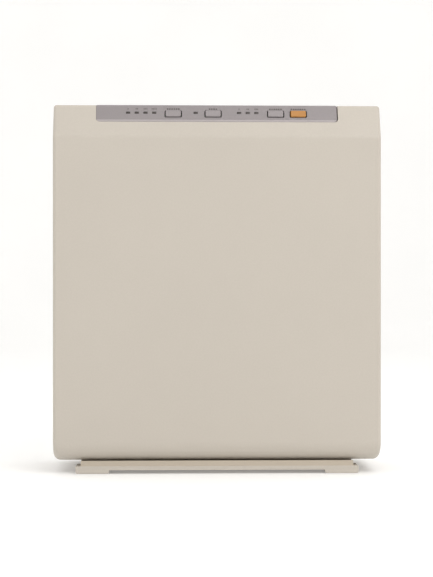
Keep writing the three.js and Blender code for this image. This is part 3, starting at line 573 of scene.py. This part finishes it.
def swept_form(name, distance, back):
    """The panel's outer form, or that form moved inwards: its section swept across, with round side edges."""
    section = rounded(inset(SIDE_CORNERS, distance), 3.0)
    lowest = min(p.y for p in section)
    highest = max(p.y for p in section)
    front_part = sorted_path([p for p in section if p.x < PANEL_BACK - MM])
    path = [Vector((back, lowest)), *front_part, Vector((back, highest))]
    half = HALF_WIDTH - distance
    rounding_steps = 7
    rings = []
    for index, point in enumerate(path):
        before = path[max(index - 1, 0)]
        after = path[min(index + 1, len(path) - 1)]
        along = (after - before).normalized()
        outward = Vector((-along.y, along.x))
        radius = max(edge_radius(point.y) - distance, 0.8 * MM)
        row = []
        for k in range(rounding_steps, -1, -1):
            angle = math.pi / 2 * k / rounding_steps
            sunk = point - outward * radius * (1 - math.cos(angle))
            row.append((-(half - radius + radius * math.sin(angle)), sunk.x, sunk.y))
        row += [(-x, y, z) for x, y, z in reversed(row)]
        rings.append(row)
    count = len(rings[0])
    faces = []
    for r in range(len(rings) - 1):
        for i in range(count - 1):
            faces.append([r * count + i, r * count + i + 1, (r + 1) * count + i + 1, (r + 1) * count + i])
    last = (len(rings) - 1) * count
    faces.append([r * count for r in range(len(rings))])
    faces.append([r * count + count - 1 for r in range(len(rings))][::-1])
    faces.append(list(range(count)) + [last + i for i in reversed(range(count))])
    return mesh_object(name, [v for row in rings for v in row], faces)


def sorted_path(points):
    """Section points in order from the bottom, round the front, to the top."""
    centre = Vector((PANEL_BACK + 60 * MM, (TOP + BOTTOM) / 2))
    return sorted(points, key=lambda p: math.atan2(p.y - centre.y, -(p.x - centre.x)))


def hinge_rib(x):
    low = BOTTOM + 1.2 * MM
    outline = [
        (-71 * MM, low), (-48.8 * MM, low), (-48.8 * MM, 24 * MM, 2 * MM),
        (-56 * MM, 30 * MM, 2 * MM), (-72.8 * MM, 30 * MM), (-72.8 * MM, 28 * MM),
    ]
    rib = prism("hinge_rib", outline, "x", x - 1.4 * MM, x + 1.4 * MM)
    bore = rod("bore", 2.2 * MM, "x", (HINGE_Y, HINGE_Z), x - 3 * MM, x + 3 * MM)
    mouth = box_solid("mouth", (x - 3 * MM, x + 3 * MM), (HINGE_Y, HINGE_Y + 6 * MM),
                      (HINGE_Z - 1.6 * MM, HINGE_Z + 1.6 * MM))
    trim = swept_form("trim", 1.0 * MM, PANEL_BACK + 20 * MM)
    return combine(combine(rib, [bore, mouth], "DIFFERENCE"), [trim], "INTERSECT")


def front_panel():
    panel = swept_form("front_panel_shell", 0, PANEL_BACK)
    inner = swept_form("inner", WALL, PANEL_BACK + 5 * MM)
    notch = prism(
        "notch",
        rectangle(STRIP_LEFT - GAP, STRIP_BOTTOM - GAP, STRIP_RIGHT + GAP, SLANT_LENGTH + 40 * MM,
                  STRIP_CORNER + GAP),
        "z", -40 * MM, 5 * MM, place=SLANT,
    )
    windows = prism("windows", rectangle(*INTAKE_WINDOW, 4 * MM), "x", -HALF_WIDTH - MM, HALF_WIDTH + MM)
    lip = box_solid("lip", (-HALF_WIDTH - MM, HALF_WIDTH + MM), (-49.5 * MM, -40 * MM), (0, BOTTOM + 5 * MM))
    slots = [
        box_solid("slot", (x - 5.4 * MM, x + 5.4 * MM), (-56 * MM, -40 * MM), (0, BOTTOM + 3 * MM))
        for x in (-HINGE_X, HINGE_X)
    ]
    combine(panel, [inner, notch, windows, lip, *slots], "DIFFERENCE")
    ribs = [hinge_rib(side * HINGE_X + shift) for side in (-1, 1) for shift in (-RIB_SPACING, RIB_SPACING)]
    tabs = [
        box_solid("tab", (x - 6 * MM, x + 6 * MM), (-66.5 * MM, -41.5 * MM), (403 * MM, 405 * MM))
        for x in (-TAB_X, TAB_X)
    ]
    feeler = box_solid("feeler", (149 * MM, 155 * MM), (-68 * MM, -48.6 * MM), (398 * MM, 401 * MM))
    combine(panel, [*ribs, *tabs, feeler], "UNION")
    return soften(panel, 0.45 * MM, 3, 40)


# ------------------------------------------------------------------ control strip

def rounding(radius, steps=5):
    """(reach, sink) pairs along a quarter round, from the flat face to the end."""
    angles = [math.pi / 2 * k / steps for k in range(steps + 1)]
    return [(radius * math.sin(angle), radius * (1 - math.cos(angle))) for angle in angles]


def rounded_end_strip(name, left, right, left_radius, right_radius):
    """The strip's section pushed along x, with each end rounded over."""
    stations = [(left + left_radius - reach, sink) for reach, sink in reversed(rounding(left_radius))]
    stations += [(right - right_radius + reach, sink) for reach, sink in rounding(right_radius)]
    rings = []
    for x, sink in stations:
        rings.append([(x, p.x, p.y) for p in rounded(inset(SIDE_CORNERS, sink - STRIP_PROUD), 4)])
    return lofted(name, rings)


def control_fascia():
    left = STRIP_LEFT - 0.25 * MM
    right = STRIP_RIGHT - 0.5 * MM
    strip = rounded_end_strip("control_strip", left, right, 0.5 * MM, 1.5 * MM)
    hollow = prism("hollow", inset(SIDE_CORNERS, WALL - STRIP_PROUD), "x", -HALF_WIDTH, HALF_WIDTH, 3)
    behind = box_solid("behind", (-HALF_WIDTH, HALF_WIDTH), (PANEL_BACK, BACK + 5 * MM), (0, TOP + 5 * MM))
    outline = prism("outline", rectangle(left - MM, STRIP_BOTTOM, right + MM, SLANT_LENGTH + 40 * MM),
                    "z", -40 * MM, 5 * MM, place=SLANT)
    corners = prism("corners", rectangle(left, STRIP_BOTTOM, right, SLANT_LENGTH + 40 * MM, STRIP_CORNER),
                    "z", -40 * MM, 5 * MM, place=SLANT)
    combine(strip, [hollow, behind], "DIFFERENCE")
    combine(strip, [outline], "INTERSECT")
    combine(strip, [corners], "INTERSECT")
    collars = []
    for name in BUTTONS:
        size = (BUTTON_HOLE[0] + 2.4 * MM, BUTTON_HOLE[1] + 2.4 * MM)
        corners = centred(middle_x(f"button_{name}"), BUTTON_V, size, 2.6 * MM)
        collars.append(prism("collar", corners, "z", -4.8 * MM, -1 * MM, place=SLANT))
    combine(strip, collars, "UNION")
    bevel_top = STRIP_BOTTOM + 2.2 * MM
    wedge = [
        (STRIP_BOTTOM - MM, -1.25 * MM), (STRIP_BOTTOM, -0.75 * MM), (bevel_top, STRIP_PROUD),
        (bevel_top, 2 * MM), (STRIP_BOTTOM - MM, 2 * MM),
    ]
    lower_bevel = slant_section("lower_bevel", wedge)
    holes = []
    for name in BUTTONS:
        corners = centred(middle_x(f"button_{name}"), BUTTON_V, BUTTON_HOLE, HOLE_CORNER)
        holes.append(prism("hole", corners, "z", -6 * MM, 3 * MM, place=SLANT))
    for x in window_places():
        corners = centred(x, WINDOW_V, WINDOW_SIZE, 0.4 * MM)
        holes.append(prism("hole", corners, "z", -6 * MM, 3 * MM, place=SLANT))
    combine(strip, [lower_bevel, *holes], "DIFFERENCE")
    dress(strip, "silver_plastic")
    # painted highlight: the lower bevel's faces get the paler copy of the silver paint
    strip.data.materials.append(MATERIALS["strip_bevel_painted_highlight"])
    outward = SLANT.to_3x3() @ Vector((0, 0, 1))
    for polygon in strip.data.polygons:
        v = (SLANT.inverted() @ polygon.center).y
        facing = polygon.normal.dot(outward)
        if v < bevel_top and 0.6 < facing < 0.985:
            polygon.material_index = 1
    return soften(strip, 0.3 * MM, 3, 30)


def slant_section(name, corners):
    """A bar along x whose section is drawn in the slanted band's (v, outward) plane."""
    rings = []
    for x in (-HALF_WIDTH, HALF_WIDTH):
        rings.append([SLANT @ Vector((x, v, outward)) for v, outward in corners])
    return lofted(name, rings)


def window_places():
    places = []
    for name, count in WINDOW_COUNTS.items():
        for index in range(1, count + 1):
            places.append(middle_x(f"led_{name}_{index}"))
    return places


def button_cap(name):
    """A cap with a sloping top edge, a faint dish and a raised lower lip."""
    x = middle_x(f"button_{name}")
    width, height = BUTTON_SIZE
    top_reach = 0.45 * MM
    size = (width - 0.3 * MM, height + top_reach)
    corners = centred(x, BUTTON_V + top_reach / 2, size, BUTTON_CORNER)
    # (height above the band, inset all round, further inset of the top edge) in mm
    levels = [
        (-3.6, 0, 0), (0.7, 0, 0), (1.0, 0.05, 0.2), (1.3, 0.16, 0.55), (1.52, 0.34, 0.9),
        (1.66, 0.6, 1.15), (1.7, 0.95, 1.25), (1.66, 1.4, 1.3), (1.6, 2.3, 1.3),
    ]
    rings = []
    for depth, shrink, slope in levels:
        ring = []
        for p in rounded(inset(corners, shrink * MM), 15):
            height_up = (p.y - BUTTON_V) / (height / 2)
            lip = 0.08 * max(0.0, -height_up) if depth > 1 else 0
            ring.append((p.x, p.y - slope * MM * max(0.0, min(1.0, height_up)), (depth + lip) * MM))
        rings.append(ring)
    cap = lofted(f"cap_{name}", rings, SLANT)
    stem = rod("stem", 1.5 * MM, "z", (x, BUTTON_V), -4.6 * MM, -3.5 * MM, 16, SLANT)
    return merged(cap, [stem])


def lens_bar(name, count):
    """A bar behind the strip with one plug up through each window."""
    windows = [middle_x(f"led_{name}_{i}") for i in range(1, count + 1)]
    end, half_height = 5 * MM, 2.4 * MM
    outline = rectangle(
        windows[0] - end, WINDOW_V - half_height, windows[-1] + end, WINDOW_V + half_height, 0.5 * MM,
    )
    bar = prism("lens", outline, "z", -4.4 * MM, -2.7 * MM, place=SLANT)
    plugs = []
    for x in windows:
        corners = centred(x, WINDOW_V, (WINDOW_SIZE[0] - 0.3 * MM, WINDOW_SIZE[1] - 0.3 * MM), 0.3 * MM)
        rings = []
        for depth, shrink in [(-3.2, 0), (-0.2, 0), (-0.05, 0.12), (0.02, 0.4), (0.04, 0.8)]:
            rings.append([(p.x, p.y, depth * MM) for p in rounded(inset(corners, shrink * MM), 30)])
        plugs.append(lofted("plug", rings, SLANT))
    bar.name = f"window_{name}"
    return merged(bar, plugs)


def mark(x, v, width, height):
    low = STRIP_PROUD - 0.02 * MM
    return box_solid("mark", (x - width / 2, x + width / 2), (v - height / 2, v + height / 2),
                     (low, low + 0.05 * MM), place=SLANT)


def printed_marks():
    """Generic printed guides: rows of short dashes over the buttons, and level bars over the windows."""
    marks = []
    row_v = STRIP_BOTTOM + 16.4 * MM
    mark_height = 1.6 * MM
    dash_counts = {"timer": 6, "ion": 4, "speed": 6, "power": 7}
    dash_width, dash_pitch = 1.7 * MM, 2.6 * MM
    bar_width, bar_pitch = 0.9 * MM, 1.6 * MM
    for name, count in dash_counts.items():
        x = middle_x(f"button_{name}")
        for i in range(count):
            marks.append(mark(x + (i - (count - 1) / 2) * dash_pitch, row_v, dash_width, mark_height))
    for name, count in WINDOW_COUNTS.items():
        if count == 1:
            continue
        for index in range(1, count + 1):
            x = middle_x(f"led_{name}_{index}")
            for bar in range(index):
                marks.append(mark(x + (bar - (index - 1) / 2) * bar_pitch, row_v, bar_width, mark_height))
    first = marks[0]
    first.name = "printed_marks"
    return merged(first, marks[1:])


# ------------------------------------------------------------------ stand

def stand():
    """Front and rear bars with feet, and the neck between them that goes up under the body."""
    half = stand_high.x
    foot = half - FOOT_LENGTH
    low = stand_low.z
    outline = [
        (-half, low, 1.6 * MM), (-foot, low, 1.6 * MM),
        (-foot, BAR_BOTTOM, 0.6 * MM), (foot, BAR_BOTTOM, 0.6 * MM),
        (foot, low, 1.6 * MM), (half, low, 1.6 * MM),
        (half, BAR_TOP, 0.9 * MM), (-half, BAR_TOP, 0.9 * MM),
    ]
    reach = stand_high.y
    base = prism("stand_moulding", outline, "y", -reach, -reach + BAR_DEPTH, 10)
    rear = prism("rear", outline, "y", reach - BAR_DEPTH, reach, 10)
    neck_top = BOTTOM - GAP
    # behind the front ridge a trough leaves room for the panel's lower edge as the panel tilts
    section = [
        (-reach, BAR_BOTTOM), (reach, BAR_BOTTOM), (reach, BAR_TOP), (NECK_TOP_BACK, neck_top, 3 * MM),
        (NECK_TOP_FRONT, neck_top, 0.8 * MM), (NECK_TOP_FRONT - 3 * MM, TROUGH_TOP, 0.8 * MM),
        (RIDGE_Y + 4.4 * MM, TROUGH_TOP, 1.5 * MM), (RIDGE_Y, stand_high.z, 0.7 * MM), (-reach, BAR_TOP),
    ]
    neck = prism("neck", section, "x", -NECK_HALF_WIDTH, NECK_HALF_WIDTH, 10)
    combine(base, [rear, neck], "UNION")
    recesses = []
    for x in (-half + FOOT_LENGTH / 2, half - FOOT_LENGTH / 2):
        for y in (-PAD_Y, PAD_Y):
            recesses.append(prism("recess", centred(x, y, PAD_RECESS, 3.4 * MM), "z", -MM, 2.6 * MM))
    screw_x, screw_y = STAND_SCREW
    wells = []
    for x in (-screw_x, screw_x):
        wells.append(rod("well", 4.4 * MM, "z", (x, screw_y), 0, 8.2 * MM))
        wells.append(rod("well", 2.2 * MM, "z", (x, screw_y), 8 * MM, 17 * MM))
    combine(base, [*recesses, *wells], "DIFFERENCE")
    dress(base, "cream_plastic")
    # painted shade: the front faces above the bar, under the body's overhang, get the darker, warmer cream
    base.data.materials.append(MATERIALS["neck_painted_shade"])
    for polygon in base.data.polygons:
        if polygon.center.z > BAR_TOP + 0.1 * MM and polygon.center.y < 0:
            polygon.material_index = 1
    return soften(base, 0.5 * MM, 3, 35)


def foot_pad(node):
    """A pad with round edges and three grip grooves across its underside."""
    low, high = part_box(node)
    x, y = (low.x + high.x) / 2, (low.y + high.y) / 2
    corners = centred(x, y, (high.x - low.x, high.y - low.y), 3 * MM)
    levels = [(0.0, 0.7), (0.15, 0.25), (0.5, 0.0), (2.0, 0.0), (2.2, 0.3)]
    rings = [[(p.x, p.y, z * MM) for p in rounded(inset(corners, shrink * MM), 15)] for z, shrink in levels]
    pad = lofted(f"{node}_rubber", rings)
    grooves = []
    for shift in (-4.5 * MM, 0, 4.5 * MM):
        middle = y + shift
        across = (x - 20 * MM, x + 20 * MM)
        grooves.append(box_solid("groove", across, (middle - 0.6 * MM, middle + 0.6 * MM), (-MM, 0.5 * MM)))
    return combine(pad, grooves, "DIFFERENCE")


# ------------------------------------------------------------------ all pieces

enter(front_panel(), "panel", "cream_plastic", replaces=["front_panel"])

strip = control_fascia()
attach(strip, "casing")
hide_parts("control_fascia")
for button in BUTTONS:
    slot = "orange_plastic" if button == "power" else "button_plastic"
    enter(button_cap(button), f"{button}_button", slot, replaces=[f"button_{button}"])
for lens, window_count in WINDOW_COUNTS.items():
    enter(lens_bar(lens, window_count), "casing", "dark_lens", replaces=[f"lens_{lens}"])
enter(printed_marks(), "casing", "black_plastic", "printed_ink")
stand_moulding = stand()
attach(stand_moulding, "casing")
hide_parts("stand_base")
for node in [n for n in NODES if n.startswith("foot_pad")]:
    enter(foot_pad(node), "casing", "pad_rubber", replaces=[node])

EDGE_WIDTHS = {
    "main_chassis": 0.5, "rear_cover": 0.6, "outlet_grille": 0.35, "intake_grille_left": 0.3,
    "intake_grille_right": 0.3, "pre_filter": 0.3, "power_inlet": 0.4, "motor_mount": 0.5, "fan_wheel": 0.3,
}
for row in frame["record"]["subparts"]:
    node = NODES[row["node"]]
    if node.hide_render:
        continue
    dress(node, row["material_slot"])
    soften(node, EDGE_WIDTHS.get(row["node"], 0.2) * MM, 2, 32)
dress(NODES["pre_filter"], "woven_net")

# ------------------------------------------------------------------ room, light and camera

CAMERA_DISTANCE = 1.8075
CAMERA_HEIGHT = 0.2145
CAMERA_AZIMUTH = math.radians(-1.65)
AIM_RIGHT = math.radians(-0.033)
LENS = 93.6
FLOOR_GLOW = 0.16
AMBIENT_STRENGTH = 0.78
KEY_POWER = 16
TOP_POWER = 9


def studio_floor():
    """A pale, faintly glowing floor whose rim curves up into a wall all round."""
    flat, radius, height, sides = 3.2, 1.4, 5.0, 64
    path = [(0.02, 0.0), (1.2, 0.0), (flat, 0.0)]
    for i in range(1, 13):
        angle = math.pi / 2 * i / 12
        path.append((flat + radius * math.sin(angle), radius * (1 - math.cos(angle))))
    path.append((flat + radius, height))
    vertices = []
    for reach, z in path:
        for i in range(sides):
            angle = 2 * math.pi * i / sides
            vertices.append((reach * math.cos(angle), reach * math.sin(angle), z))
    faces = [list(range(sides))]
    for r in range(len(path) - 1):
        for i in range(sides):
            j = (i + 1) % sides
            faces.append([r * sides + i, r * sides + j, (r + 1) * sides + j, (r + 1) * sides + i])
    floor = mesh_object("studio_floor", vertices, faces)
    nodes = Nodes("studio_paper")
    paper = nodes.ramp(nodes.noise(2, 3), [(0.3, (0.88, 0.88, 0.875)), (0.7, (0.91, 0.91, 0.905))])
    nodes.set(Base_Color=paper, Roughness=nodes.spread(nodes.noise(40), 0.85, 0.95))
    nodes.set(Emission_Color=(1.0, 0.99, 0.98), Emission_Strength=FLOOR_GLOW)
    floor.data.materials.append(nodes.material)


def area_light(name, place, target, size, power, colour):
    light = bpy.data.lights.new(name, "AREA")
    light.shape = "RECTANGLE"
    light.size, light.size_y = size
    light.energy = power
    light.color = colour
    lamp = bpy.data.objects.new(name, light)
    lamp.location = place
    lamp.rotation_euler = (Vector(target) - Vector(place)).to_track_quat("-Z", "Y").to_euler()
    bpy.context.scene.collection.objects.link(lamp)


def camera():
    data = bpy.data.cameras.new("camera")
    data.lens = LENS
    data.sensor_width = 36
    eye = bpy.data.objects.new("camera", data)
    eye.location = (
        CAMERA_DISTANCE * math.sin(CAMERA_AZIMUTH),
        -CAMERA_DISTANCE * math.cos(CAMERA_AZIMUTH),
        CAMERA_HEIGHT,
    )
    eye.rotation_euler = (math.pi / 2, 0, CAMERA_AZIMUTH + AIM_RIGHT)
    bpy.context.scene.collection.objects.link(eye)
    bpy.context.scene.camera = eye


def surroundings():
    world = bpy.data.worlds.new("studio")
    world.use_nodes = True
    backdrop = world.node_tree.nodes["Background"]
    backdrop.inputs["Color"].default_value = (1.0, 0.99, 0.975, 1)
    backdrop.inputs["Strength"].default_value = AMBIENT_STRENGTH
    bpy.context.scene.world = world
    bpy.context.scene.view_settings.view_transform = "Standard"


studio_floor()
surroundings()
area_light("key", (0.9, -1.6, 1.9), (0, 0, 0.25), (1.4, 1.0), KEY_POWER, (1.0, 0.985, 0.96))
area_light("top", (0.1, 0.3, 2.2), (0, 0, 0.3), (2.4, 1.6), TOP_POWER, (1.0, 0.99, 0.98))
camera()
